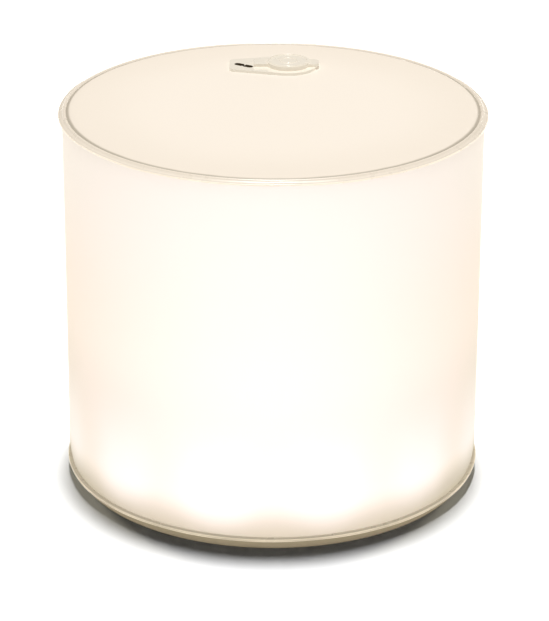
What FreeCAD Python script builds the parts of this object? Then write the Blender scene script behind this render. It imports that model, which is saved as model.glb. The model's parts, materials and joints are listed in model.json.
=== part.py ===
import FreeCAD, Part
import math
import os

# Inflatable solar camping lantern, standing inflated, in millimetres.
#
# +Z is up and the origin is the centre of the resting face. A frosted film drum, welded shut at a top and a
# bottom lip, stands on a flat round light unit. The unit holds the solar panel, the battery, the boards and
# a ring of LEDs, which shine up into the drum. The drum is blown up through a valve in the top film and
# folds flat, straight down, once the valve is open. -Y is the front, where the two buttons are underneath,
# and the valve is at the back of the top.

V = FreeCAD.Vector
OUT = "parts"

# Driving dimensions of the drum
LIP_R = 63.5            # outer radius of the top lip, the widest point
WALL_R = 62.3           # outer radius of the drum's wall
FILM = 0.4              # film thickness
TOP_Z = 116.0           # outer face of the top film
CREASE_R = 61.0         # where the top film meets its lip
CREASE_Z = TOP_Z - 0.6
SEAM_GAP = 0.1          # clearance between a film's edge and its weld lip
LIP_T = 0.9             # thickness of the bottom lip
WALL_GAP = 0.3          # clearance between the wall's two ends and the lips
ROLL_R = 4.0            # radius that the bottom film rolls up with
FOOT_R = 57.4           # outer radius of the flat resting face
FOOT_IN_R = 50.0        # inner radius of the bottom film
LAP_DEG = 5.6           # width of the wall's upright lap weld, as an angle

# Driving dimensions of the light unit
UNIT_R = 58.0           # outer radius of tray and cover
UNIT_WALL = 1.6
TRAY_Z0 = FILM          # the tray stands on the bottom film
FLOOR_Z = 2.0           # upper face of the tray's floor
TRAY_Z1 = 9.0
GASKET = 0.8
COVER_UNDER_Z = 11.2
COVER_Z = 12.4
PANEL_R = 38.0          # radius of the ledge that holds the solar panel
LEDGE = 2.0
LEDGE_Z = 1.2
SCREW_RING_R = 52.0
SCREW_COUNT = 6
LED_COUNT = 12
LED_RING_R = 52.0
LED_FIRST_DEG = 15.0
LED_BOARD_IN_R = 45.0
BOARD_Z = 6.0           # underside of the control board
BOARD_T = 1.2
BUTTON_X = 11.0
BUTTON_Y = -43.5
BUTTON_R = 4.4
PRESS = 0.5             # travel of a button
SWITCH_ROOF_Z = 5.2     # inner end of the well that a switch's plunger slides in

# Driving dimensions of the valve
VALVE_X = 4.5
VALVE_Y = 37.0
BORE_R = 3.6
STEM_R = 5.2
STEM_Z0 = TOP_Z - 6.2   # lower end of the stem, inside the drum
PLATE_R = 8.6
PLATE_T = 0.8
TAB_LENGTH = 18.0       # from the bore's axis to the tab's far end
TAB_HALF_WIDTH = 5.2
PLATE_Z = TOP_Z + PLATE_T
HINGE_REACH = 10.2      # from the bore's axis to the cap's living hinge
PLUG_DEPTH = 3.4
SLOT_X = -9.1           # centre of the finger slot in the valve's tab
SLOT_Y = 36.0
SLOT_LENGTH = 6.2
SLOT_WIDTH = 1.3
SLOT_TILT_DEG = -32.0
STRAP_T = 0.8
STRAP_GAP = 0.1


def disc(radius, z0, z1, x=0.0, y=0.0):
    """Upright cylinder from z0 to z1."""
    return Part.makeCylinder(radius, z1 - z0, V(x, y, z0))


def ring(inner, outer, z0, z1, x=0.0, y=0.0):
    return disc(outer, z0, z1, x, y).cut(disc(inner, z0 - 1, z1 + 1, x, y))


def block(x0, x1, y0, y1, z0, z1):
    return Part.makeBox(x1 - x0, y1 - y0, z1 - z0, V(x0, y0, z0))


def rounded_block(x0, x1, y0, y1, z0, z1, radius):
    """Block with its four upright edges rounded."""
    solid = block(x0, x1, y0, y1, z0, z1)
    upright = [e for e in solid.Edges if abs(e.tangentAt(e.FirstParameter).z) > 0.9]
    return solid.makeFillet(radius, upright)


def outline(start, *steps):
    """Closed wire in the XZ plane. A step is a point (r, z), or a pair of points: an arc's middle and end."""
    def at(p):
        return V(p[0], 0, p[1])

    edges = []
    here = start
    for step in steps:
        if isinstance(step[0], tuple):
            edges.append(Part.Arc(at(here), at(step[0]), at(step[1])).toShape())
            here = step[1]
        else:
            edges.append(Part.LineSegment(at(here), at(step)).toShape())
            here = step
    edges.append(Part.LineSegment(at(here), at(start)).toShape())
    return Part.Wire(edges)


def lathe(start, *steps, degrees=360.0):
    """Solid turned about Z from an outline of (radius, height) points."""
    face = Part.Face(outline(start, *steps))
    return face.revolve(V(0, 0, 0), V(0, 0, 1), degrees)


def around(count, first_deg=0.0):
    """Angles in degrees of evenly spaced copies."""
    return [first_deg + 360.0 * i / count for i in range(count)]


def polar(radius, degrees):
    return radius * math.cos(math.radians(degrees)), radius * math.sin(math.radians(degrees))


def turned(solid, degrees):
    """Copy of a solid, turned about the Z axis."""
    copy = solid.copy()
    copy.rotate(V(0, 0, 0), V(0, 0, 1), degrees)
    return copy


def lead(points, diameter):
    """Round wire along straight runs joined by tangent arcs, each arc as large as its two runs allow."""
    share = 0.45
    corners = [V(*p) for p in points]
    edges = []
    here = corners[0]
    for before, corner, after in zip(corners, corners[1:], corners[2:]):
        into = (corner - before).normalize()
        out = (after - corner).normalize()
        back = share * min((corner - before).Length, (after - corner).Length)
        half_turn = into.getAngle(out) / 2
        radius = back / math.tan(half_turn)
        bisector = (out - into).normalize()
        middle = corner + bisector * (radius / math.cos(half_turn) - radius)
        start, end = corner - into * back, corner + out * back
        edges.append(Part.LineSegment(here, start).toShape())
        edges.append(Part.Arc(start, middle, end).toShape())
        here = end
    edges.append(Part.LineSegment(here, corners[-1]).toShape())
    first = (corners[1] - corners[0]).normalize()
    section = Part.Wire(Part.Circle(corners[0], first, diameter / 2).toShape())
    return Part.Wire(edges).makePipeShell([section], True, True)


def group(solids):
    """Separate solids kept together in one node."""
    return Part.makeCompound(solids)


# ---- the drum -------------------------------------------------------------------------------------------


def side_wall():
    """The film drum's wall, drawn in a little towards each weld, with its upright lap weld at the back."""
    low, high = ROLL_R + SEAM_GAP + LIP_T + WALL_GAP, CREASE_Z - 0.8 - WALL_GAP
    waist_low, waist_high = low + 5.3, high - 5.4
    drawn_in = 0.7
    top_r, full = WALL_R - drawn_in, WALL_R
    nearly = WALL_R - 0.16
    mid_low, mid_high = (low + waist_low) / 2, (high + waist_high) / 2
    wall = lathe(
        (top_r, low),
        ((nearly, mid_low), (full, waist_low)),
        (full, waist_high),
        ((nearly, mid_high), (top_r, high)),
        (top_r - FILM, high),
        ((nearly - FILM, mid_high), (full - FILM, waist_high)),
        (full - FILM, waist_low),
        ((nearly - FILM, mid_low), (top_r - FILM, low)),
    )
    lap = lathe(
        (full - FILM / 2, waist_low),
        (full + 0.3, waist_low),
        (full + 0.3, waist_high),
        (full - FILM / 2, waist_high),
        degrees=LAP_DEG,
    )
    return wall.fuse(turned(lap, 90 - LAP_DEG / 2)).removeSplitter()


def top_panel():
    """The top film, flat, rolled down at its edge, with a hole for the valve's stem."""
    flat_r = CREASE_R - 4.5
    inner_z = TOP_Z - FILM
    mid_r, drop = CREASE_R - 2.0, 0.14
    film = lathe(
        (0, inner_z),
        (0, TOP_Z),
        (flat_r, TOP_Z),
        ((mid_r, TOP_Z - drop), (CREASE_R, CREASE_Z)),
        (CREASE_R, CREASE_Z - FILM),
        ((mid_r, inner_z - drop), (flat_r, inner_z)),
    )
    return film.cut(disc(STEM_R + SEAM_GAP, inner_z - 1, TOP_Z + 1, VALVE_X, VALVE_Y))


def top_seam():
    """The top weld lip: a bead beside the crease, then a thin edge that slopes outward and down."""
    inner = CREASE_R + 0.05
    return lathe(
        (inner, CREASE_Z - 0.5),
        (inner, CREASE_Z),
        ((inner + 0.7, CREASE_Z + 0.25), (inner + 1.4, CREASE_Z - 0.1)),
        (LIP_R - 0.2, CREASE_Z - 0.6),
        ((LIP_R, CREASE_Z - 0.8), (LIP_R - 0.2, CREASE_Z - 1.05)),
        (inner + 1.1, CREASE_Z - 0.85),
    )


def bottom_panel():
    """The bottom film: a ring under the light unit, the flat resting face, rolled up to the bottom weld."""
    diagonal = math.sqrt(0.5)
    inner = ROLL_R - FILM
    return lathe(
        (FOOT_IN_R, 0),
        (FOOT_R, 0),
        ((FOOT_R + ROLL_R * diagonal, ROLL_R * (1 - diagonal)), (FOOT_R + ROLL_R, ROLL_R)),
        (FOOT_R + inner, ROLL_R),
        ((FOOT_R + inner * diagonal, ROLL_R - inner * diagonal), (FOOT_R, FILM)),
        (FOOT_IN_R, FILM),
    )


def bottom_seam():
    """The bottom weld lip, a thin edge just proud of the wall."""
    inner = FOOT_R + ROLL_R + 0.05
    low = ROLL_R + SEAM_GAP
    edge = WALL_R + 0.6
    return lathe(
        (inner, low),
        (inner, low + LIP_T),
        (edge - 0.6, low + LIP_T - 0.05),
        ((edge, low + LIP_T / 2), (edge - 0.6, low)),
    )


# ---- the light unit -------------------------------------------------------------------------------------


def screw_places():
    return [polar(SCREW_RING_R, a) for a in around(SCREW_COUNT)]


def board_screw_places():
    return [(side * 17.5, -37.0) for side in (-1, 1)]


def button_places():
    return {"power": (-BUTTON_X, BUTTON_Y), "level": (BUTTON_X, BUTTON_Y)}


def level_places():
    spacing = 3.2
    return [(i * spacing, BUTTON_Y - 0.5) for i in (-1, 0, 1)]


def base_tray():
    """Lower housing: a floor with a stepped opening for the solar panel, a rim, screw bosses and button holes."""
    inner = UNIT_R - UNIT_WALL
    tray = lathe(
        (PANEL_R - LEDGE, TRAY_Z0),
        (FOOT_R, TRAY_Z0),
        (UNIT_R, TRAY_Z0 + 1.0),
        (UNIT_R, TRAY_Z1),
        (inner, TRAY_Z1),
        (inner, FLOOR_Z),
        (PANEL_R, FLOOR_Z),
        (PANEL_R, LEDGE_Z),
        (PANEL_R - LEDGE, LEDGE_Z),
    )
    bosses = [disc(2.8, FLOOR_Z, TRAY_Z1, x, y) for x, y in screw_places()]
    posts = [disc(2.0, FLOOR_Z, BOARD_Z, x, y) for x, y in board_screw_places()]
    tray = tray.fuse(bosses + posts)
    holes = [disc(1.02, FLOOR_Z + 2.0, TRAY_Z1 + 1, x, y) for x, y in screw_places()]
    holes += [disc(0.82, FLOOR_Z + 0.8, BOARD_Z + 1, x, y) for x, y in board_screw_places()]
    holes += [disc(BUTTON_R + 0.2, 0, FLOOR_Z + 1, x, y) for x, y in button_places().values()]
    holes += [disc(1.0, 0, FLOOR_Z + 1, x, y) for x, y in level_places()]
    return tray.cut(holes).removeSplitter()


def solar_window():
    return disc(PANEL_R - LEDGE - 0.1, TRAY_Z0 + 0.1, LEDGE_Z - 0.2)


def solar_laminate():
    return disc(PANEL_R - 0.2, LEDGE_Z, LEDGE_Z + 1.0)


def solar_cells():
    """Cells cut as strips side by side, trimmed to the round window."""
    strips, gap, reach = 8, 0.5, PANEL_R - LEDGE - 1.5
    width = 2 * reach / strips
    face = disc(reach, LEDGE_Z - 0.18, LEDGE_Z - 0.02)
    cells = []
    for i in range(strips):
        left = -reach + i * width
        strip = block(left + gap / 2, left + width - gap / 2, -reach, reach, 0, FLOOR_Z)
        cells.append(face.common(strip).Solids[0])
    return group(cells)


def housing_gasket():
    return ring(UNIT_R - 1.4, UNIT_R - 0.2, TRAY_Z1, TRAY_Z1 + GASKET)


def led_board():
    """White ring board that carries the LEDs."""
    board = ring(LED_BOARD_IN_R, UNIT_R - 1.8, TRAY_Z1, TRAY_Z1 + 1.0)
    return board.cut([disc(1.3, TRAY_Z1 - 1, TRAY_Z1 + 2, x, y) for x, y in screw_places()])


def led_packages():
    base = TRAY_Z1 + 1.0
    package = block(LED_RING_R - 1.4, LED_RING_R + 1.4, -1.75, 1.75, base, base + 0.9)
    return group([turned(package, a) for a in around(LED_COUNT, LED_FIRST_DEG)])


def led_lenses():
    """Clear domed windows over the LEDs."""
    radius, rise = 2.9, 1.1
    ball = (radius ** 2 + rise ** 2) / (2 * rise)
    lenses = []
    for a in around(LED_COUNT, LED_FIRST_DEG):
        x, y = polar(LED_RING_R, a)
        sphere = Part.makeSphere(ball, V(x, y, COVER_Z + rise - ball))
        cap = sphere.common(disc(radius, COVER_Z - 0.1, COVER_Z + 2 * rise, x, y))
        lenses.append(disc(radius, COVER_UNDER_Z, COVER_Z, x, y).fuse(cap).removeSplitter())
    return group(lenses)


def reflector_cover():
    """Upper housing, white: a plate with LED windows and a skirt that closes on the gasket."""
    inner = UNIT_R - UNIT_WALL
    skirt_z = TRAY_Z1 + GASKET
    cover = lathe(
        (0, COVER_UNDER_Z),
        (inner, COVER_UNDER_Z),
        (inner, skirt_z),
        (UNIT_R, skirt_z),
        (UNIT_R, COVER_Z - 1.0),
        ((UNIT_R - 0.3, COVER_Z - 0.3), (UNIT_R - 1.0, COVER_Z)),
        (0, COVER_Z),
    )
    stand_offs = [disc(2.6, TRAY_Z1 + 1.0, COVER_UNDER_Z, x, y) for x, y in screw_places()]
    cover = cover.fuse(stand_offs)
    holes = [disc(3.0, COVER_UNDER_Z - 1, COVER_Z + 1, *polar(LED_RING_R, a))
             for a in around(LED_COUNT, LED_FIRST_DEG)]
    holes += [disc(1.2, TRAY_Z1, COVER_Z + 1, x, y) for x, y in screw_places()]
    holes += [disc(2.2, COVER_Z - 0.6, COVER_Z + 1, x, y) for x, y in screw_places()]
    return cover.cut(holes).removeSplitter()


def reflector_sheet():
    return disc(46.0, COVER_Z, COVER_Z + 0.2)


def screw(x, y, head_z, head_r, head_t, shank_r, shank_z0):
    """Pan-head screw, pointing down, with a cross recess."""
    solid = disc(head_r, head_z, head_z + head_t, x, y).fuse(disc(shank_r, shank_z0, head_z, x, y))
    arm, half, deep = head_r * 0.65, head_r * 0.14, head_t * 0.6
    top = head_z + head_t
    long_x = block(x - arm, x + arm, y - half, y + half, top - deep, top + 1)
    long_y = block(x - half, x + half, y - arm, y + arm, top - deep, top + 1)
    return solid.cut([long_x, long_y]).removeSplitter()


def housing_screws():
    return group([screw(x, y, COVER_Z - 0.6, 2.0, 1.0, 1.0, FLOOR_Z + 2.5) for x, y in screw_places()])


def board_screws():
    top = BOARD_Z + BOARD_T
    return group([screw(x, y, top, 1.8, 1.0, 0.8, FLOOR_Z + 1.2) for x, y in board_screw_places()])


def control_board():
    """Board over the buttons, with holes for its two screws."""
    board = rounded_block(-20, 20, -50, -32, BOARD_Z, BOARD_Z + BOARD_T, 1.5)
    holes = [disc(1.1, BOARD_Z - 1, BOARD_Z + 2, x, y) for x, y in board_screw_places()]
    return board.cut(holes)


def on_board(x, y, long_x, long_y, tall):
    """Component standing on the control board."""
    z = BOARD_Z + BOARD_T
    return block(x - long_x / 2, x + long_x / 2, y - long_y / 2, y + long_y / 2, z, z + tall)


def controller_chip():
    return on_board(-5.0, -42.0, 5.0, 5.0, 1.0)


def power_inductor():
    z = BOARD_Z + BOARD_T
    base = rounded_block(4.0, 10.0, -41.0, -35.0, z, z + 2.4, 1.2)
    return base.fuse(disc(2.4, z + 2.4, z + 2.8, 7.0, -38.0)).removeSplitter()


def capacitors():
    places = [(-12.5, -42.0), (-12.5, -45.0), (1.0, -46.0), (13.0, -43.0), (13.0, -46.0)]
    return group([on_board(x, y, 2.0, 1.25, 1.2) for x, y in places])


def battery_connector():
    """Two-way socket, open towards the battery, where the leads go in."""
    body = on_board(-6.0, -34.6, 6.0, 4.8, 3.0)
    z = BOARD_Z + BOARD_T + 1.5
    ways = [Part.makeCylinder(0.62, 3.0, V(-6.0 + side, -32.2, z), V(0, -1, 0)) for side in (-1.2, 1.2)]
    return body.cut(ways)


def board_header_pins():
    """Straight pins that feed the LED board from the control board."""
    return group([disc(0.35, BOARD_Z + BOARD_T, TRAY_Z1, x, -48.0) for x in (-2.5, 0.0, 2.5)])


def battery_pad():
    top = LEDGE_Z + 1.0
    return rounded_block(-22, 22, -6, 18, top, top + 0.9, 2.0)


def battery_cell():
    """Flat pouch cell with rounded long edges."""
    z0 = LEDGE_Z + 1.9
    cell = block(-24, 24, -9, 21, z0, z0 + 5.0)
    along = [e for e in cell.Edges if abs(e.tangentAt(e.FirstParameter).y) > 0.9]
    return cell.makeFillet(2.2, along)


def battery_protection_board():
    return block(-12, 12, -12.2, -9.0, 4.4, 7.0)


def battery_lead(x_cell, side):
    """From the protection board, over the panel, into the connector."""
    z_in = BOARD_Z + BOARD_T + 1.5
    x_in = -6.0 + side * 1.2
    points = [(x_cell, -12.2, 5.6), (x_cell, -17.5, 5.6), (x_cell - 0.4, -22.5, 7.4),
              (x_in, -27.5, z_in), (x_in, -34.0, z_in)]
    return lead(points, 1.1)


def panel_lead(x):
    """From its solder point on the panel, up to the underside of the control board."""
    return lead([(x, -24.0, 2.75), (x, -28.0, 2.75), (x, -31.6, 3.6), (x, -33.4, BOARD_Z - 0.4)], 1.0)


def level_leds():
    return group([block(x - 0.8, x + 0.8, y - 0.4, y + 0.4, BOARD_Z - 0.6, BOARD_Z) for x, y in level_places()])


def level_light_pipes():
    return group([disc(0.9, TRAY_Z0 + 0.1, BOARD_Z - 0.8, x, y) for x, y in level_places()])


def switch_body(x, y):
    """Tactile switch under the control board, with a well that its plunger slides in."""
    body = block(x - 2.3, x + 2.3, y - 2.3, y + 2.3, BOARD_Z - 2.4, BOARD_Z)
    return body.cut(disc(1.3, BOARD_Z - 3, SWITCH_ROOF_Z, x, y))


def plunger(x, y):
    """Round pin between the button and the switch, short enough for the whole travel."""
    return disc(1.2, FLOOR_Z + 0.85, SWITCH_ROOF_Z - PRESS - 0.4, x, y)


def button(x, y):
    """Soft button: a cap in the floor's hole, dished for a fingertip, and a flange that holds it in."""
    low = TRAY_Z0 + 0.2
    cap = disc(BUTTON_R, low, FLOOR_Z + 0.2, x, y).fuse(disc(5.7, FLOOR_Z + 0.2, FLOOR_Z + 0.8, x, y))
    ball = 24.0
    dish = Part.makeSphere(ball, V(x, y, low + 0.3 - ball))
    return cap.cut(dish).removeSplitter()


# ---- the valve ------------------------------------------------------------------------------------------


def teardrop(radius, length, half_width, z0, z1):
    """Plate round the bore's axis, with a tab of the given length towards -X whose sides run tangent to it."""
    far = VALVE_X - length
    corner = 2.0
    tilt = math.atan2(radius - half_width, length - corner)
    touch = V(VALVE_X - radius * math.sin(tilt), VALVE_Y + radius * math.cos(tilt), z0)
    near = V(far + corner, VALVE_Y + half_width, z0)

    def mirrored(p):
        return V(p.x, 2 * VALVE_Y - p.y, p.z)

    def bulge(y_side):
        return V(far + corner * 0.29, VALVE_Y + y_side * (half_width - corner * 0.29), z0)

    end_high = V(far, VALVE_Y + half_width - corner, z0)
    edges = [
        Part.Arc(touch, V(VALVE_X + radius, VALVE_Y, z0), mirrored(touch)).toShape(),
        Part.LineSegment(mirrored(touch), mirrored(near)).toShape(),
        Part.Arc(mirrored(near), bulge(-1), mirrored(end_high)).toShape(),
        Part.LineSegment(mirrored(end_high), end_high).toShape(),
        Part.Arc(end_high, bulge(1), near).toShape(),
        Part.LineSegment(near, touch).toShape(),
    ]
    return Part.Face(Part.Wire(edges)).extrude(V(0, 0, z1 - z0))


def valve_body():
    """Clear moulded valve: a plate welded on the top film, a finger slot in its tab, and a stem with a bore."""
    plate = teardrop(PLATE_R, TAB_LENGTH, TAB_HALF_WIDTH, TOP_Z, PLATE_Z)
    stem = disc(STEM_R, STEM_Z0, TOP_Z + PLATE_T / 2, VALVE_X, VALVE_Y)
    body = plate.fuse(stem).cut(disc(BORE_R, STEM_Z0 - 1, PLATE_Z + 1, VALVE_X, VALVE_Y))
    half_length, half_width = SLOT_LENGTH / 2, SLOT_WIDTH / 2
    slot = rounded_block(SLOT_X - half_length, SLOT_X + half_length, SLOT_Y - half_width, SLOT_Y + half_width,
                         TOP_Z - 1, PLATE_Z + 1, 0.6)
    slot.rotate(V(SLOT_X, SLOT_Y, 0), V(0, 0, 1), SLOT_TILT_DEG)
    return body.cut(slot).removeSplitter()


def valve_cap():
    """Flip cap: a disc with a tapered plug, on a strap that ends, rounded, at the living hinge."""
    low = PLATE_Z + STRAP_GAP
    high = low + STRAP_T
    hinge_x = VALVE_X - HINGE_REACH
    half = STRAP_T / 2
    strap = block(hinge_x, VALVE_X, VALVE_Y - 2.4, VALVE_Y + 2.4, low, high)
    knuckle = Part.makeCylinder(half, 4.8, V(hinge_x, VALVE_Y - 2.4, low + half), V(0, 1, 0))
    lid = disc(6.6, low, high + 0.4, VALVE_X, VALVE_Y)
    pull = rounded_block(VALVE_X, VALVE_X + 9.4, VALVE_Y - 2.6, VALVE_Y + 2.6, low, high, 1.8)
    plug = Part.makeCone(BORE_R - 0.7, BORE_R - 0.1, PLUG_DEPTH, V(VALVE_X, VALVE_Y, PLATE_Z - PLUG_DEPTH))
    neck = disc(BORE_R - 0.1, PLATE_Z, low, VALVE_X, VALVE_Y)
    return lid.fuse([strap, knuckle, pull, neck, plug]).removeSplitter()


def valve_flap():
    """Check flap that lies against the stem's lower end."""
    z1 = STEM_Z0 - 0.1
    lug = block(VALVE_X - STEM_R, VALVE_X, VALVE_Y - 1.5, VALVE_Y + 1.5, z1 - 0.4, z1)
    return disc(4.7, z1 - 0.4, z1, VALVE_X, VALVE_Y).fuse(lug).removeSplitter()


def nodes():
    """Every sub-part of the lantern, by node name."""
    made = {
        "side_wall": side_wall(),
        "top_panel": top_panel(),
        "top_seam": top_seam(),
        "bottom_panel": bottom_panel(),
        "bottom_seam": bottom_seam(),
        "base_tray": base_tray(),
        "solar_window": solar_window(),
        "solar_cells": solar_cells(),
        "solar_laminate": solar_laminate(),
        "housing_gasket": housing_gasket(),
        "led_board": led_board(),
        "led_packages": led_packages(),
        "led_lenses": led_lenses(),
        "reflector_cover": reflector_cover(),
        "reflector_sheet": reflector_sheet(),
        "housing_screws": housing_screws(),
        "control_board": control_board(),
        "board_screws": board_screws(),
        "controller_chip": controller_chip(),
        "power_inductor": power_inductor(),
        "capacitors": capacitors(),
        "battery_connector": battery_connector(),
        "board_header_pins": board_header_pins(),
        "battery_pad": battery_pad(),
        "battery_cell": battery_cell(),
        "battery_protection_board": battery_protection_board(),
        "battery_lead_black": battery_lead(-8.5, -1),
        "battery_lead_red": battery_lead(-3.5, 1),
        "panel_lead_black": panel_lead(8.0),
        "panel_lead_red": panel_lead(12.0),
        "level_leds": level_leds(),
        "level_light_pipes": level_light_pipes(),
        "valve_body": valve_body(),
        "valve_cap": valve_cap(),
        "valve_flap": valve_flap(),
    }
    for name, place in button_places().items():
        made[name + "_button"] = button(*place)
        made[name + "_plunger"] = plunger(*place)
        made[name + "_switch"] = switch_body(*place)
    return made


os.makedirs(OUT, exist_ok=True)
for node, shape in nodes().items():
    if not shape.isValid() or shape.Volume <= 0:
        raise ValueError(node + " is not a valid solid")
    shape.exportStep(os.path.join(OUT, node + ".step"))
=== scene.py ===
import json
import math

import bpy
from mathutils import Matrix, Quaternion, Vector


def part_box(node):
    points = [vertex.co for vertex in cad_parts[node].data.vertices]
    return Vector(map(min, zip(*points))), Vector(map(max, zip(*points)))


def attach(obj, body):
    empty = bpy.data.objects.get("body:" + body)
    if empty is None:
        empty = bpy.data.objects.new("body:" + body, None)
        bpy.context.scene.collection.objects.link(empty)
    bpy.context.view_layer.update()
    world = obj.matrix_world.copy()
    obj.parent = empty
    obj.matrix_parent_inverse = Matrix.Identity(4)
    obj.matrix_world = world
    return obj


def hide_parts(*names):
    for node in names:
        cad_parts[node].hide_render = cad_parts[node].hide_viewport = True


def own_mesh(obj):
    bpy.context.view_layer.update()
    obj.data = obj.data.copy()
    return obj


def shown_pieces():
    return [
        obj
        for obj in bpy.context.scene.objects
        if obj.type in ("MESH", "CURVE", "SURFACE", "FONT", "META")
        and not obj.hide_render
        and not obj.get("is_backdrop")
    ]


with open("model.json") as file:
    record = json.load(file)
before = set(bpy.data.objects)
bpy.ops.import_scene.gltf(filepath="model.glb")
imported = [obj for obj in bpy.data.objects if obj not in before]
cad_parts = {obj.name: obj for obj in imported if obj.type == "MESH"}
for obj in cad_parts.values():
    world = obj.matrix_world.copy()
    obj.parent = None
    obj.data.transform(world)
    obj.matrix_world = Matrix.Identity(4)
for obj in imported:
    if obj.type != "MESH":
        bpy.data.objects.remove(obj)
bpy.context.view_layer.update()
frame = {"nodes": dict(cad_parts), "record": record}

MM = 0.001

# The lantern's look: a soft film drum blown up tight, lit from below by a ring of LEDs.
# Every film piece stands for its CAD node. All other CAD nodes are shown with a better material.

# ---- places: boxes read from the frame, then this script's own sizes -----------------------------------

CREASE_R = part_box("top_panel")[1].x          # where the top film meets its lip
TOP_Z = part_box("top_panel")[1].z             # outer face of the top film
LIP_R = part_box("top_seam")[1].x              # outer radius of the top lip
LIP_LOW_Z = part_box("top_seam")[0].z
WALL_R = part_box("side_wall")[1].x            # outer radius of the drum
WALL_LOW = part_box("bottom_seam")[1].z        # the wall runs from lip to lip
WALL_HIGH = LIP_LOW_Z + 0.1 * MM             # and a little into the top lip
FOOT_LIP_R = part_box("bottom_seam")[1].x      # outer radius of the bottom lip
FOOT_LIP_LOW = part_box("bottom_seam")[0].z
FOOT_ROLL_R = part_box("bottom_panel")[1].x    # outer radius of the rolled-up bottom film
VALVE_LOW, VALVE_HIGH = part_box("valve_body")

FILM = 0.4 * MM                              # thickness of every film
LED_COUNT = 12
LED_FIRST = math.radians(15)                 # the first LED's turn round the drum
LAP_HALF = math.radians(2.8)                 # half the width of the wall's upright lap weld
BACK = math.radians(90)                      # the lap weld's turn

SLOT_CENTRE = (-9.1 * MM, 36.0 * MM)         # of the slot in the valve's tab
SLOT_TILT = math.radians(-32)                # from the X axis
STRAP_REACH = 4.0 * MM                       # how far the cap's strap reaches past the cap
VALVE_EDGE = 0.22 * MM                       # width of the valve's soft edges
FLOOR_Z = -0.02 * MM                         # just under the lantern, so that the two faces don't meet

# ---- node helpers --------------------------------------------------------------------------------------


class Nodes:
    """Short hand for building one material's node tree."""

    def __init__(self, name):
        self.material = bpy.data.materials.new(name)
        self.material.use_nodes = True
        self.tree = self.material.node_tree
        self.shader = self.tree.nodes["Principled BSDF"]

    def make(self, kind, **values):
        node = self.tree.nodes.new(kind)
        for key, value in values.items():
            setattr(node, key, value)
        return node

    def plug(self, target, value):
        if isinstance(value, bpy.types.NodeSocket):
            self.tree.links.new(value, target)
        else:
            target.default_value = value

    def math(self, operation, a, b=0.0, c=0.0):
        node = self.make("ShaderNodeMath", operation=operation)
        for socket, value in zip(node.inputs, (a, b, c)):
            self.plug(socket, value)
        return node.outputs[0]

    def ramp(self, value, low, high, to_low=0.0, to_high=1.0):
        """Smooth step of value from low to high."""
        node = self.make("ShaderNodeMapRange", interpolation_type="SMOOTHSTEP")
        for socket, given in zip(node.inputs, (value, low, high, to_low, to_high)):
            self.plug(socket, given)
        return node.outputs[0]

    def mix(self, factor, a, b):
        node = self.make("ShaderNodeMix", data_type="RGBA")
        self.plug(node.inputs["Factor"], factor)
        self.plug(node.inputs[6], a)
        self.plug(node.inputs[7], b)
        return node.outputs[2]

    def noise(self, scale, detail=2.0, roughness=0.5, distortion=0.0):
        node = self.make("ShaderNodeTexNoise")
        node.inputs["Scale"].default_value = scale
        node.inputs["Detail"].default_value = detail
        node.inputs["Roughness"].default_value = roughness
        node.inputs["Distortion"].default_value = distortion
        self.plug(node.inputs["Vector"], self.place())
        return node.outputs["Fac"]

    def place(self):
        return self.make("ShaderNodeTexCoord").outputs["Object"]

    def radius(self):
        """Distance from the drum's axis."""
        split = self.make("ShaderNodeSeparateXYZ")
        self.plug(split.inputs[0], self.place())
        across = self.math("POWER", split.outputs[0], 2.0)
        along = self.math("POWER", split.outputs[1], 2.0)
        return self.math("SQRT", self.math("ADD", across, along))

    def map_uv(self):
        """(turn, height) of the film at rest, so that the pattern stays on the film as it folds."""
        split = self.make("ShaderNodeSeparateXYZ")
        self.plug(split.inputs[0], self.make("ShaderNodeUVMap", uv_map="film").outputs[0])
        return split.outputs[0], split.outputs[1]

    def bump(self, height, distance, strength=1.0):
        node = self.make("ShaderNodeBump")
        node.inputs["Strength"].default_value = strength
        node.inputs["Distance"].default_value = distance
        self.plug(node.inputs["Height"], height)
        self.plug(self.shader.inputs["Normal"], node.outputs[0])

    def set(self, **values):
        for key, value in values.items():
            self.plug(self.shader.inputs[key.replace("_", " ")], value)


def rgb(r, g, b):
    """Linear colour from the 0 to 255 values of a display."""
    def linear(v):
        v /= 255
        return v / 12.92 if v <= 0.04045 else ((v + 0.055) / 1.055) ** 2.4
    return linear(r), linear(g), linear(b), 1.0


# ---- materials -----------------------------------------------------------------------------------------

GLOW_HIGH = rgb(255, 244, 224)               # the wall's glow near the top
GLOW_MIDDLE = rgb(255, 236, 207)             # over its middle
GLOW_LOW = rgb(255, 239, 206)                # and lower down
GLOW_LED = rgb(255, 246, 228)                # in the lobe over each LED
GLOW_SHADE = rgb(255, 240, 198)              # below the LEDs' light
FILM_IOR = 1.48

# Painted shade: darker lines at the crease and the groove of each weld lip, as (place, half width, depth).
# The place runs from 0 at the lip's inner radius to 1 at its outer radius.
TOP_SHADE_LINES = ((0.0, 0.1, 0.25), (0.78, 0.1, 0.12))
FOOT_SHADE_LINES = ((0.0, 0.2, 0.4), (0.62, 0.12, 0.25))
WELD_GLOW = 0.36


def film_detail(n, roughness):
    """Fine frosting of the film, and a faint waviness."""
    frost = n.noise(2600, 3, 0.6)
    wave = n.noise(60, 2, 0.5)
    n.set(Roughness=n.ramp(frost, 0.3, 0.7, roughness - 0.06, roughness + 0.06))
    n.bump(n.math("MULTIPLY_ADD", wave, 6.0, frost), 0.02 * MM, 0.5)


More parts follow.
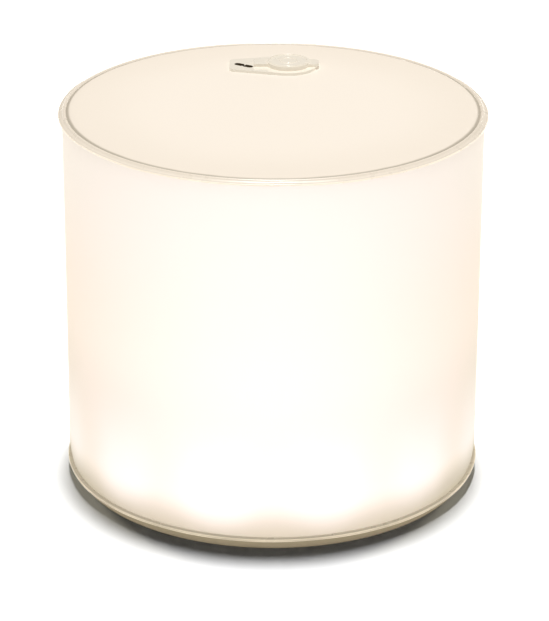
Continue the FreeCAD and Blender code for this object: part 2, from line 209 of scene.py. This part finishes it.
def wall_material():
    """Frosted film lit from inside: a lobe of light over each LED, fading upward into an even cream."""
    n = Nodes("frosted_wall_film")
    turn, height = n.map_uv()

    # A wave round the drum: 1 over an LED, 0 midway between two
    phase = n.math("MULTIPLY", n.math("SUBTRACT", turn, LED_FIRST / math.tau), LED_COUNT * math.tau)
    over = n.math("MULTIPLY_ADD", n.math("COSINE", phase), 0.5, 0.5)
    uneven = n.noise(28, 2, 0.5)

    # The lobes start just over the base and lie a little higher midway between two LEDs
    edge = n.math("MULTIPLY_ADD", over, -0.016, n.math("MULTIPLY_ADD", uneven, 0.03, -0.021))
    lit = n.ramp(height, edge, n.math("ADD", edge, 0.13))
    lower = n.ramp(height, 0.15, 0.6)
    upper = n.ramp(height, 0.5, 0.95)
    low = n.math("MULTIPLY", lit, n.ramp(height, 0.36, 0.08))
    lobe = n.math("MULTIPLY", n.ramp(over, -0.5, 1.0), low)
    colour = n.mix(upper, n.mix(lower, GLOW_LOW, GLOW_MIDDLE), GLOW_HIGH)
    colour = n.mix(lobe, n.mix(lit, GLOW_SHADE, colour), GLOW_LED)
    strength = n.math("MULTIPLY", n.ramp(lit, 0, 1, 0.5, 1.0), n.ramp(lower, 0, 1, 0.53, 0.63))
    strength = n.math("ADD", strength, n.math("MULTIPLY_ADD", lobe, 0.08, n.math("MULTIPLY", low, 0.04)))
    # Painted shade: the base colour is darker and browner where the LEDs' light doesn't reach.
    n.set(Base_Color=n.mix(lit, rgb(150, 143, 126), rgb(156, 150, 149)))
    n.set(Emission_Color=colour, Emission_Strength=strength)
    n.set(IOR=FILM_IOR, Specular_IOR_Level=0.1)
    film_detail(n, 0.55)
    return n.material


def top_material():
    """The same film, lit from further off: cream, a little duller toward its rim, with painted shade darkest
    in the crease.
    """
    n = Nodes("frosted_top_film")
    radius = n.math("DIVIDE", n.radius(), CREASE_R)
    uneven = n.math("MULTIPLY", n.noise(35, 2, 0.5), 0.12)
    rim = n.ramp(n.math("ADD", radius, uneven), 0.55, 1.12)
    crease_from, crease_to = 1.15 * MM, 0.35 * MM            # inside the lip's inner radius
    # Painted shade: the crease mask darkens the base colour and halves the glow in the crease.
    crease = n.ramp(radius, 1 - crease_from / CREASE_R, 1 - crease_to / CREASE_R)
    n.set(Emission_Color=n.mix(rim, rgb(250, 236, 216), rgb(246, 228, 202)))
    strength = n.math("MULTIPLY", n.ramp(rim, 0, 1, 0.375, 0.345), n.ramp(crease, 0, 1, 1.0, 0.5))
    n.set(Emission_Strength=strength)
    n.set(Base_Color=n.mix(crease, rgb(180, 173, 164), rgb(150, 143, 130)))
    n.set(IOR=FILM_IOR, Specular_IOR_Level=0.1)
    film_detail(n, 0.45)
    return n.material


def foot_film_material():
    """The bottom film, which the LEDs don't reach: a duller glow, and a darker, browner base colour than the
    wall's as painted shade.
    """
    n = Nodes("frosted_base_film")
    n.set(Base_Color=n.mix(n.noise(60, 3), rgb(136, 124, 100), rgb(150, 138, 113)))
    n.set(Emission_Color=rgb(228, 208, 172), Emission_Strength=0.25, IOR=FILM_IOR, Specular_IOR_Level=0.2)
    film_detail(n, 0.45)
    return n.material


def weld_material(name, tint, inner, outer, lines):
    """Film melted by the weld: smooth, with painted shade in darker lines round the lip and a painted
    highlight on its brighter outer edge.
    """
    n = Nodes(name)
    share = n.math("DIVIDE", n.math("SUBTRACT", n.radius(), inner), outer - inner)
    share = n.math("MULTIPLY_ADD", n.noise(45, 2), 0.04, n.math("SUBTRACT", share, 0.02))
    # Painted shade: along each line the base colour darkens and the glow fades.
    dark = 0.0
    for place, half, depth in lines:
        away = n.math("ABSOLUTE", n.math("SUBTRACT", share, place))
        dark = n.math("MAXIMUM", n.ramp(away, half, 0.3 * half, 0.0, depth), dark)
    n.set(Base_Color=n.mix(dark, tint, tuple(0.25 * c for c in tint[:3]) + (1.0,)))
    # Painted highlight: the glow is brighter along the lip's outer edge.
    side = n.ramp(share, 0.86, 0.97, WELD_GLOW, 1.7 * WELD_GLOW)
    strength = n.math("MULTIPLY", side, n.ramp(dark, 0, 1, 1.0, 0.0))
    n.set(Emission_Color=rgb(250, 234, 208), Emission_Strength=strength)
    n.set(IOR=1.5, Coat_Weight=0.15, Coat_Roughness=0.2)
    n.set(Roughness=n.ramp(n.noise(300, 2), 0.3, 0.7, 0.26, 0.38))
    n.bump(n.noise(120, 2, 0.5), 0.02 * MM, 0.4)
    return n.material


def clear_material(name, tint, roughness=0.08, transmission=0.85, flow=120):
    """Clear soft moulding, faintly milky, with flow marks."""
    n = Nodes(name)
    n.set(Base_Color=tint, IOR=1.47, Transmission_Weight=transmission)
    n.set(Roughness=n.ramp(n.noise(flow, 3), 0.3, 0.7, roughness, roughness + 0.12))
    n.bump(n.noise(flow * 3, 2, 0.5, distortion=0.6), 0.04 * MM, 0.5)
    return n.material


def valve_material():
    """Clear vinyl on the lit film: a painted glow stands in for the film's light through it, and painted
    shade makes its side faces darker.
    """
    n = Nodes("valve_vinyl")
    split = n.make("ShaderNodeSeparateXYZ")
    n.plug(split.inputs[0], n.make("ShaderNodeNewGeometry").outputs["Normal"])
    # Painted shade: faces turned up or down keep the lighter colour and stronger glow, side faces get the
    # darker ones.
    flat = n.ramp(n.math("ABSOLUTE", split.outputs[2]), 0.35, 0.95)
    milky = n.noise(160, 3, 0.5, distortion=0.8)
    n.set(Base_Color=n.mix(flat, rgb(164, 156, 140), n.mix(milky, rgb(190, 184, 174), rgb(172, 166, 154))))
    n.set(Emission_Color=rgb(250, 238, 218), Emission_Strength=n.ramp(flat, 0, 1, 0.48, 0.43))
    n.set(IOR=1.5, Coat_Weight=0.6, Coat_Roughness=0.06)
    n.set(Roughness=n.ramp(milky, 0.3, 0.7, 0.16, 0.3))
    n.bump(n.noise(420, 2, 0.5, distortion=0.6), 0.04 * MM, 0.4)
    return n.material


def moulded_material(name, light, dark, roughness, grain=1400, depth=0.03, **extra):
    """Moulded plastic or rubber with a fine spark-eroded grain and slight colour variation."""
    n = Nodes(name)
    n.set(Base_Color=n.mix(n.noise(70, 3), dark, light))
    n.set(Roughness=n.ramp(n.noise(grain / 3, 2), 0.3, 0.7, roughness - 0.06, roughness + 0.06))
    n.bump(n.noise(grain, 2, 0.6), depth * MM, 0.6)
    n.set(**extra)
    return n.material


def metal_material(name, tint, roughness, grain=1800):
    n = Nodes(name)
    n.set(Base_Color=n.mix(n.noise(300, 3), tint, tuple(0.8 * c for c in tint[:3]) + (1.0,)), Metallic=1.0)
    n.set(Roughness=n.ramp(n.noise(grain, 3), 0.3, 0.7, roughness, roughness + 0.18))
    n.bump(n.noise(grain, 2), 0.01 * MM, 0.5)
    return n.material


def cell_material():
    """Dark silicon with fine silver fingers across it and two bus bars along it."""
    n = Nodes("silicon_cell")
    split = n.make("ShaderNodeSeparateXYZ")
    n.plug(split.inputs[0], n.place())
    fingers = n.math("FRACT", n.math("MULTIPLY", split.outputs[1], 1 / (1.6 * MM)))
    finger = n.math("LESS_THAN", fingers, 0.09)
    grain = n.make("ShaderNodeTexVoronoi")
    grain.inputs["Scale"].default_value = 240
    n.plug(grain.inputs["Vector"], n.place())
    crystal = n.mix(grain.outputs["Color"], rgb(14, 18, 44), rgb(30, 38, 78))
    n.set(Base_Color=n.mix(finger, crystal, rgb(150, 154, 160)), Roughness=0.22, Coat_Weight=0.7)
    return n.material


def board_material(name, mask, trace):
    """Solder mask over copper tracks."""
    n = Nodes(name)
    tracks = n.make("ShaderNodeTexBrick")
    tracks.inputs["Scale"].default_value = 300
    tracks.inputs["Mortar Size"].default_value = 0.025
    n.plug(tracks.inputs["Vector"], n.place())
    n.set(Base_Color=n.mix(tracks.outputs["Fac"], mask, trace), Roughness=0.35, Coat_Weight=0.5)
    n.bump(tracks.outputs["Fac"], 0.03 * MM, 0.6)
    return n.material


def glow_material(name, tint, strength):
    n = Nodes(name)
    n.set(Base_Color=tint, Emission_Color=n.mix(n.noise(900, 2), tint, rgb(255, 236, 196)))
    n.set(Emission_Strength=strength, Roughness=0.3)
    return n.material


def cad_materials():
    """One material for each record slot whose CAD nodes stay."""
    grey, white = rgb(176, 172, 162), rgb(240, 239, 232)
    black = rgb(30, 30, 32)
    return {
        "valve_clear": valve_material(),
        "housing_grey": moulded_material("housing_plastic", rgb(205, 201, 190), grey, 0.5),
        "reflector_white": moulded_material("reflector_plastic", white, rgb(228, 226, 216), 0.3, 900, 0.015),
        "button_rubber": moulded_material("button_silicone", rgb(88, 90, 94), rgb(72, 74, 78), 0.62),
        "gasket_rubber": moulded_material("gasket_silicone", black, rgb(20, 20, 22), 0.7),
        "solar_glazing": clear_material("panel_glazing", rgb(240, 244, 246), 0.03, 0.95, 60),
        "silicon": cell_material(),
        "laminate": moulded_material("panel_laminate", rgb(26, 28, 34), rgb(18, 20, 26), 0.35, 700),
        "screw_steel": metal_material("zinc_screw", rgb(200, 202, 206), 0.28),
        "led_board_white": board_material("white_board", white, rgb(222, 222, 214)),
        "led_phosphor": glow_material("led_light", rgb(255, 222, 150), 3.0),
        "lens_clear": clear_material("led_window", rgb(252, 250, 244), 0.05, 0.95),
        "board_green": board_material("green_board", rgb(20, 84, 44), rgb(34, 110, 60)),
        "chip_black": moulded_material("chip_epoxy", rgb(40, 40, 42), black, 0.55, 1800),
        "ferrite": moulded_material("pressed_ferrite", rgb(78, 78, 82), rgb(58, 58, 62), 0.6, 1100),
        "capacitor_ceramic": moulded_material("fired_ceramic", rgb(190, 150, 104), rgb(166, 126, 84), 0.4),
        "connector_white": moulded_material("nylon_housing", rgb(238, 232, 214), rgb(224, 218, 198), 0.4),
        "pin_brass": metal_material("plated_brass", rgb(226, 190, 110), 0.25),
        "cell_foil": metal_material("pouch_foil", rgb(196, 198, 204), 0.34, 500),
        "foam": moulded_material("adhesive_foam", rgb(66, 66, 68), rgb(50, 50, 52), 0.85, 500, 0.12),
        "wire_red": moulded_material("red_insulation", rgb(176, 26, 22), rgb(150, 20, 18), 0.4),
        "wire_black": moulded_material("black_insulation", rgb(36, 36, 38), rgb(24, 24, 26), 0.4),
    }


# ---- mesh helpers --------------------------------------------------------------------------------------


def add_object(name, data):
    """A new object in the scene, with the given mesh, lamp or camera."""
    obj = bpy.data.objects.new(name, data)
    bpy.context.scene.collection.objects.link(obj)
    return obj


def add_mesh(name, points, faces):
    mesh = bpy.data.meshes.new(name)
    mesh.from_pydata(points, [], faces)
    return mesh


def wobble(turn, *waves):
    """Sum of smooth waves round the drum. A wave is (count, size in mm, phase)."""
    return sum(size * math.sin(count * turn + phase) for count, size, phase in waves) * MM


def arc(centre_r, centre_z, radius, start_deg, end_deg, count):
    """Points on an arc in a plane, such as that of (r, z), both ends included."""
    out = []
    for i in range(count + 1):
        a = math.radians(start_deg + (end_deg - start_deg) * i / count)
        out.append((centre_r + radius * math.cos(a), centre_z + radius * math.sin(a)))
    return out


def lathe(name, outline, turns, shape, low=0.0, high=1.0):
    """Closed skin turned about Z from a closed outline of (r, z). shape(turn, r, z) moves each point.
    The film map holds each point's turn and its share of the height between low and high."""
    rows = len(outline)
    points = []
    for t in range(turns):
        turn = math.tau * t / turns
        for r, z in outline:
            at_r, at_z = shape(turn, r, z)
            points.append((at_r * math.cos(turn), at_r * math.sin(turn), at_z))
    faces = []
    for t in range(turns):
        after = (t + 1) % turns
        for i in range(rows):
            j = (i + 1) % rows
            faces.append((t * rows + i, after * rows + i, after * rows + j, t * rows + j))
    mesh = add_mesh(name, points, faces)
    uv = mesh.uv_layers.new(name="film")
    for polygon in mesh.polygons:
        turn_index = polygon.index // rows
        for corner in polygon.loop_indices:
            vertex = mesh.loops[corner].vertex_index
            t, i = divmod(vertex, rows)
            if t < turn_index:
                t += turns
            uv.data[corner].uv = (t / turns, (outline[i][1] - low) / (high - low))
    mesh.shade_smooth()
    mesh.validate()
    return add_object(name, mesh)


def finish_piece(obj, body, slot, material, *nodes):
    """Give the piece its material and body, and hide the CAD nodes that it stands for; the slot is not used.
    """
    obj.data.materials.clear()
    obj.data.materials.append(material)
    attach(obj, body)
    if nodes:
        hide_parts(*nodes)
    return obj


def round_edges(obj, width):
    """Soft moulded edges on a CAD node, by modifiers only."""
    weld = obj.modifiers.new("weld", "WELD")
    weld.merge_threshold = 0.002 * MM
    bevel = obj.modifiers.new("bevel", "BEVEL")
    bevel.width = width
    bevel.segments = 3
    bevel.limit_method = "ANGLE"
    bevel.angle_limit = math.radians(35)


# ---- the film pieces -----------------------------------------------------------------------------------


def make_wall(material):
    """The drum's wall: straight, drawn in to each weld, faintly puckered there, with the lap weld behind."""
    rows = 96
    drawn_in = 0.7 * MM
    bend = 5.2 * MM                              # height over which the wall draws in
    pucker_fade = 7 * MM                         # puckers fade over this height
    pucker_start = 1.2 * MM                      # and begin this far from the weld
    lap_rise = 0.28 * MM
    lap_slope = math.radians(0.25)
    skin_r = WALL_R - 0.3 * MM - drawn_in        # only the outer skin lies outside this radius

    def pulled(z):
        nearest = min(z - WALL_LOW, WALL_HIGH - z)
        share = max(0.0, 1 - nearest / bend)
        return drawn_in * share ** 2.2

    outer = []
    for i in range(rows + 1):
        share = i / rows
        eased = share - 0.11 * math.sin(math.tau * share)      # rows lie closer together near the welds
        z = WALL_LOW + (WALL_HIGH - WALL_LOW) * eased
        outer.append((WALL_R - pulled(z), z))
    inner = [(r - FILM, z) for r, z in reversed(outer)]

    def shape(turn, r, z):
        top, low = WALL_HIGH - z, z - WALL_LOW
        pucker = wobble(turn, (47, 0.035, 0.4), (31, 0.03, 2.1), (73, 0.02, 1.3))
        held = math.exp(-top / pucker_fade) + math.exp(-low / pucker_fade)
        slack = wobble(turn, (3, 0.07, 0.9), (5, 0.04, 2.4)) * math.sin(math.pi * low / (low + top))
        r += pucker * held * min(1.0, min(top, low) / pucker_start) + slack
        away = abs((turn - BACK + math.pi) % math.tau - math.pi)
        if r > skin_r:
            step = min(1.0, max(0.0, (LAP_HALF - away) / lap_slope))
            r += lap_rise * step * step * (3 - 2 * step)
        return r, z

    wall = lathe("side_wall_film", outer + inner, 720, shape, WALL_LOW, WALL_HIGH)
    finish_piece(wall, "base", "frosted_film", material, "side_wall")
    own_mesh(wall)
    return wall


def make_top(material):
    """The top film: nearly flat, rolled down at the rim, with shallow puckers there."""
    steps = 48
    reach = CREASE_R + 0.05 * MM
    roll = 4.5 * MM                              # width of the rim that rolls down
    roll_drop = 0.6 * MM
    rim_width = 11 * MM                          # puckers fade over this width, inward
    rim_edge = 1.5 * MM                          # and over this width at the crease
    sag_size = 0.12 * MM
    sag_full_r = 30 * MM
    calm_reach = 22 * MM                         # the film is stretched flat round the valve
    valve_x = (VALVE_LOW.x + VALVE_HIGH.x) / 2
    valve_y = (VALVE_LOW.y + VALVE_HIGH.y) / 2

    def level(r):
        return TOP_Z - roll_drop * max(0.0, (r - (reach - roll)) / roll) ** 4

    outer = [(reach * (1 - i / steps), level(reach * (1 - i / steps))) for i in range(steps)]
    outer += [(0.08 * MM, TOP_Z), (0.01 * MM, TOP_Z)]
    inner = [(r, z - FILM) for r, z in reversed(outer)]

    def shape(turn, r, z):
        inside = CREASE_R - r
        rim = max(0.0, 1 - inside / rim_width) * min(1.0, max(0.0, inside / rim_edge))
        pucker = wobble(turn, (23, 0.035, 0.2), (37, 0.03, 1.9), (61, 0.02, 0.7)) * rim
        from_valve = math.hypot(r * math.cos(turn) - valve_x, r * math.sin(turn) - valve_y)
        calm = min(1.0, from_valve / calm_reach)
        wave = 1 + math.sin(2 * turn + 0.6)
        sag = -sag_size * calm * wave * min(1.0, r / sag_full_r) * (1 - r / reach)
        return r, z + pucker + sag

    film = lathe("top_film", outer + inner, 360, shape)
    return finish_piece(film, "top", "frosted_film", material, "top_panel")


def make_top_lip(material):
    """The top weld lip: a bead beside the crease, a shallow groove, and an edge that slopes out and down."""
    inner = CREASE_R + 0.05 * MM
    z = TOP_Z - 0.6 * MM
    outline = [
        (inner, z - 0.55 * MM),
        (inner, z - 0.02 * MM),
        *arc(inner + 0.62 * MM, z - 0.05 * MM, 0.5 * MM, 165, 25, 8),
        (inner + 1.25 * MM, z - 0.12 * MM),
        (inner + 1.55 * MM, z - 0.22 * MM),
        (LIP_R - 0.5 * MM, z - 0.48 * MM),
        *arc(LIP_R - 0.3 * MM, z - 0.76 * MM, 0.28 * MM, 80, -85, 6),
        (inner + 1.2 * MM, z - 0.86 * MM),
    ]

    def shape(turn, r, z):
        out = max(0.0, (r - inner) / (LIP_R - inner))
        flutter = wobble(turn, (7, 0.06, 0.3), (13, 0.05, 2.2), (29, 0.03, 1.1))
        return r - 0.05 * MM * out * (1 + math.sin(11 * turn)), z + flutter * out * out

    lip = lathe("top_weld_lip", outline, 720, shape)
    return finish_piece(lip, "top", "weld_lip", material, "top_seam")


def make_foot_film(material):
    """The bottom film: a flat ring, then a soft roll up to the bottom weld, finely pleated."""
    low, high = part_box("bottom_panel")
    roll = FOOT_LIP_LOW - 0.1 * MM               # radius of the roll
    pleat_low, pleat_rise = 1.0 * MM, 2 * MM     # the pleats start here and are full this much higher
    centre_r = FOOT_ROLL_R - roll
    inner_r = 50 * MM                            # the light unit shows through this opening
    flat = [(inner_r + (centre_r - inner_r) * i / 6, low.z) for i in range(6)]
    rolled = arc(centre_r, roll, roll, -90, 0, 18)
    back = arc(centre_r, roll, roll - FILM, 0, -90, 18)
    above = [(centre_r - (centre_r - inner_r) * i / 6, FILM) for i in range(1, 7)]

    def shape(turn, r, z):
        lift = min(1.0, max(0.0, z - pleat_low) / pleat_rise)
        pleat = wobble(turn, (90, 0.035, 0.0), (57, 0.03, 1.1), (131, 0.02, 0.5))
        return r + pleat * lift - 0.05 * MM * lift, z

    film = lathe("bottom_film", flat + rolled + back + above, 720, shape)
    return finish_piece(film, "base", "base_film", material, "bottom_panel")


def make_foot_lip(material):
    """The bottom weld lip: two thin edges with a line between them."""
    inner = FOOT_ROLL_R + 0.05 * MM
    low = FOOT_LIP_LOW
    high = WALL_LOW
    middle = (low + high) / 2
    outline = [
        (inner, low),
        (inner, high),
        *arc(FOOT_LIP_R - 0.24 * MM, high - 0.22 * MM, 0.22 * MM, 90, -60, 6),
        (FOOT_LIP_R - 0.32 * MM, middle),
        *arc(FOOT_LIP_R - 0.3 * MM, low + 0.24 * MM, 0.24 * MM, 50, -90, 6),
    ]

    def shape(turn, r, z):
        out = max(0.0, (r - inner) / (FOOT_LIP_R - inner))
        return r - 0.04 * MM * out * (1 + math.sin(17 * turn)), z + 0.03 * MM * out * math.sin(9 * turn + 1)

    lip = lathe("bottom_weld_lip", outline, 720, shape)
    return finish_piece(lip, "base", "weld_lip", material, "bottom_seam")


def slab(name, outline, low, high):
    """Closed slab with the given outline of (x, y), counter-clockwise."""
    count = len(outline)
    points = [(x, y, z) for z in (low, high) for x, y in outline]
    faces = [tuple(reversed(range(count))), tuple(range(count, 2 * count))]
    faces += [(i, (i + 1) % count, count + (i + 1) % count, count + i) for i in range(count)]
    return add_object(name, add_mesh(name, points, faces))


def ring_tube(name, path, radius, sides=12):
    """Round tube along a closed path of points."""
    points, faces = [], []
    count = len(path)
    for i, at in enumerate(path):
        ahead = (Vector(path[(i + 1) % count]) - Vector(path[i - 1])).normalized()
        side = ahead.cross(Vector((0, 0, 1))).normalized()
        up = side.cross(ahead)
        for k in range(sides):
            a = math.tau * k / sides
            points.append(Vector(at) + radius * (math.cos(a) * side + math.sin(a) * up))
    for i in range(count):
        j = (i + 1) % count
        for k in range(sides):
            m = (k + 1) % sides
            faces.append((i * sides + k, j * sides + k, j * sides + m, i * sides + m))
    mesh = add_mesh(name, points, faces)
    mesh.shade_smooth()
    return add_object(name, mesh)


def make_painted_slot_shade(material):
    """Painted shade in the slot of the valve's tab: a dark slab in two halves with a narrow bridge between
    them.
    """
    half_long, half_wide, half_bridge = 3.2 * MM, 1.0 * MM, 0.28 * MM
    low, high = TOP_Z + 0.02 * MM, VALVE_HIGH.z + 0.03 * MM
    centre = Vector(SLOT_CENTRE)
    ahead = Vector((math.cos(SLOT_TILT), math.sin(SLOT_TILT)))
    aside = Vector((-ahead.y, ahead.x))
    round_end = arc(half_long - half_wide, 0.0, half_wide, -90, 90, 12)
    half_slot = [(half_bridge, -half_wide), *round_end, (half_bridge, half_wide)]
    for name, way in (("valve_slot_shade_0", -1), ("valve_slot_shade_1", 1)):
        outline = [centre + way * (u * ahead + v * aside) for u, v in half_slot]
        finish_piece(slab(name, outline, low, high), "top", "valve_clear", material)


def make_cap_details(material):
    """Moulded rim near the cap's edge, and a small ring round its middle."""
    steps = 72
    cap_low, cap_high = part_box("valve_cap")
    middle_y = (cap_low.y + cap_high.y) / 2
    middle_x = cap_low.x + (cap_high.y - cap_low.y) / 2 + STRAP_REACH
    for name, ring_r, thick in (
        ("valve_cap_rim", 5.9 * MM, 0.22 * MM),
        ("valve_cap_ring", 2.6 * MM, 0.16 * MM),
    ):
        ring = [(x, y, cap_high.z) for x, y in arc(middle_x, middle_y, ring_r, 0, 360, steps)[:steps]]
        finish_piece(ring_tube(name, ring, thick), "cap", "valve_clear", material)


# ---- stage ---------------------------------------------------------------------------------------------

CAMERA_DISTANCE = 0.9
CAMERA_ELEVATION = math.radians(22.91)
CAMERA_ROLL = 0.0038
CAMERA_LENS = 171.9                          # mm, on a 36 mm sensor along the picture's long side
AIM = Vector((0.0006, 0.0, 0.0506))


def make_camera():
    """The photo's view: a little above the lantern, with no lens shift."""
    data = bpy.data.cameras.new("camera")
    data.lens = CAMERA_LENS
    data.sensor_width = 36
    data.clip_start = 0.01
    camera = add_object("camera", data)
    back = Vector((0, -math.cos(CAMERA_ELEVATION), math.sin(CAMERA_ELEVATION)))
    camera.location = AIM + back * CAMERA_DISTANCE
    camera.rotation_mode = "QUATERNION"
    roll = Quaternion((0, 0, 1), CAMERA_ROLL)
    camera.rotation_quaternion = (-back).to_track_quat("-Z", "Y") @ roll
    bpy.context.scene.camera = camera


def make_floor():
    """Plain pale paper, far wider than the picture."""
    half = 6.0
    corners = [(x * half, y * half, FLOOR_Z) for x, y in ((-1, -1), (1, -1), (1, 1), (-1, 1))]
    mesh = add_mesh("floor", corners, [(0, 1, 2, 3)])
    floor = add_object("floor", mesh)
    n = Nodes("floor_paper")
    n.set(Base_Color=n.mix(n.noise(4, 2), (0.90, 0.90, 0.90, 1), (0.92, 0.92, 0.92, 1)), Roughness=0.9)
    n.set(Specular_IOR_Level=0.0)
    mesh.materials.append(n.material)
    floor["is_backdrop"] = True
    return floor


def collection_of(name, objects):
    made = bpy.data.collections.new(name)
    for obj in objects:
        made.objects.link(obj)
    return made


def light_only(source, lit):
    """The source lights only these objects, as a flag in a studio keeps a lamp off the rest."""
    source.light_linking.receiver_collection = lit


def aimed_lamp(name, kind, place, power, aim):
    """A lamp of the given kind at the place, turned toward the aim."""
    data = bpy.data.lights.new(name, kind)
    data.energy = power
    light = add_object(name, data)
    light.location = place
    light.rotation_mode = "QUATERNION"
    light.rotation_quaternion = (Vector(aim) - Vector(place)).to_track_quat("-Z", "Y")
    return light


def area_light(name, place, size, power, aim=(0, 0, 0.05)):
    light = aimed_lamp(name, "AREA", place, power, aim)
    light.data.shape = "DISK"
    light.data.size = size
    return light


def spot_light(name, place, cone, power, aim):
    """A lamp with a soft-edged cone, given in degrees."""
    light = aimed_lamp(name, "SPOT", place, power, aim)
    light.data.spot_size = math.radians(cone)
    light.data.spot_blend = 1.0
    light.data.shadow_soft_size = 0.12
    return light


def sun_light(name, toward, width, strength):
    """A far lamp seen in the given direction, with its width in degrees."""
    data = bpy.data.lights.new(name, "SUN")
    data.angle = math.radians(width)
    data.energy = strength
    light = add_object(name, data)
    light.rotation_mode = "QUATERNION"
    light.rotation_quaternion = Vector(toward).to_track_quat("Z", "Y")


def make_light(lantern, glowing, ground):
    """A far overhead lamp a little behind, so that a soft shadow falls forward.
    The softboxes and the spot add to the lantern only, and two low lamps lighten its shadow at the sides."""
    world = bpy.data.worlds.new("studio")
    world.use_nodes = True
    background = world.node_tree.nodes["Background"]
    background.inputs["Color"].default_value = (1.0, 1.0, 1.0, 1)
    background.inputs["Strength"].default_value = 0.02
    bpy.context.scene.world = world

    sun_light("overhead", toward=(0.006, 0.05, 1.0), width=6.2, strength=4.1)
    front = area_light("front_softbox", (0.0, -1.6, 0.75), size=0.9, power=7)
    back = area_light("back_softbox", (0.5, 1.6, 0.32), size=0.5, power=12)
    for softbox in (front, back):
        softbox.visible_glossy = False
        light_only(softbox, lantern)
    spot = spot_light("front_spot", (0.0, -1.6, 0.35), cone=7.8, power=330, aim=(0.0, -0.06, -0.008))
    spot.data.color = (0.90, 0.82, 1.0)
    light_only(spot, glowing)
    for name, side in (("side_fill_0", -1), ("side_fill_1", 1)):
        fill = area_light(name, (0.85 * side, 0.88, 0.36), size=0.3, power=7.5, aim=(0.06 * side, 0, 0))
        fill.data.color = (1.0, 0.93, 0.72)
        light_only(fill, ground)

    view = bpy.context.scene.view_settings
    view.view_transform = "Standard"
    view.look = "None"


# ---- making --------------------------------------------------------------------------------------------

make_camera()
floor = make_floor()

wall = make_wall(wall_material())
top_film = make_top(top_material())
top_weld = weld_material("top_weld", rgb(176, 168, 158), CREASE_R, LIP_R, TOP_SHADE_LINES)
top_lip = make_top_lip(top_weld)
foot_film = make_foot_film(foot_film_material())
# Painted shade: the bottom lip's tint is a darker, browner copy of the top lip's.
foot_weld = weld_material("bottom_weld", rgb(170, 157, 130), FOOT_ROLL_R, FOOT_LIP_R, FOOT_SHADE_LINES)
foot_lip = make_foot_lip(foot_weld)

shown = cad_materials()
slot_of = {part["node"]: part["material_slot"] for part in frame["record"]["subparts"]}
for node, obj in frame["nodes"].items():
    if slot_of[node] in shown:
        obj.data.materials.clear()
        obj.data.materials.append(shown[slot_of[node]])
for node in ("valve_body", "valve_cap"):
    round_edges(frame["nodes"][node], VALVE_EDGE)
# Painted shade: a dark brown stands in for the shadow inside the valve tab's slot.
slot_shade = moulded_material("slot_shade", rgb(50, 38, 18), rgb(30, 22, 10), 0.6, Specular_IOR_Level=0.1)
make_painted_slot_shade(slot_shade)
make_cap_details(shown["valve_clear"])

lantern = collection_of("lantern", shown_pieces())
glowing = collection_of("glowing", [wall])
ground = collection_of("ground", [floor])
make_light(lantern, glowing, ground)
for film in (wall, top_film, top_lip, foot_film, foot_lip):
    light_only(film, lantern)
    film.visible_diffuse = False

bpy.context.view_layer.update()
